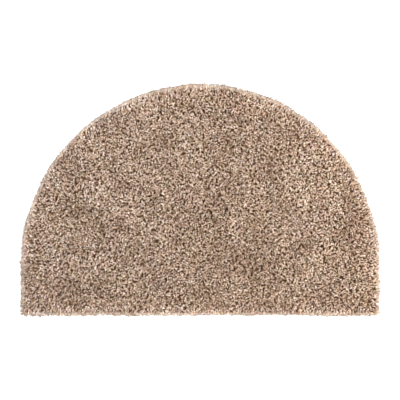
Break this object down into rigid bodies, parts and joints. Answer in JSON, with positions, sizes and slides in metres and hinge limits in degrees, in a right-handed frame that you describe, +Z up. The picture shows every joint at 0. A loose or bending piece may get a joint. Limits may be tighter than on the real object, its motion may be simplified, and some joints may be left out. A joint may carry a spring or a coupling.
{
  "type": "half-round shag rug",
  "caption": "Half-round shag rug with a straight front edge and a thick mottled beige and brown pile, lying flat.",
  "frame": {"origin": "at floor level, under the middle of the rug's outline", "axes": "+X along the straight front edge, +Y from the front edge to the top of the round edge, +Z up out of the pile"},
  "size_m": [0.8016, 0.52, 0.0303],
  "materials": {
    "shag_pile": "matt tufted yarn, mixed cream, beige, tan and brown",
    "backing_cloth": "plain coarse woven backing"
  },
  "bodies": {
    "root": {"shag_rug": "shag_pile"}
  },
  "joints": []
}
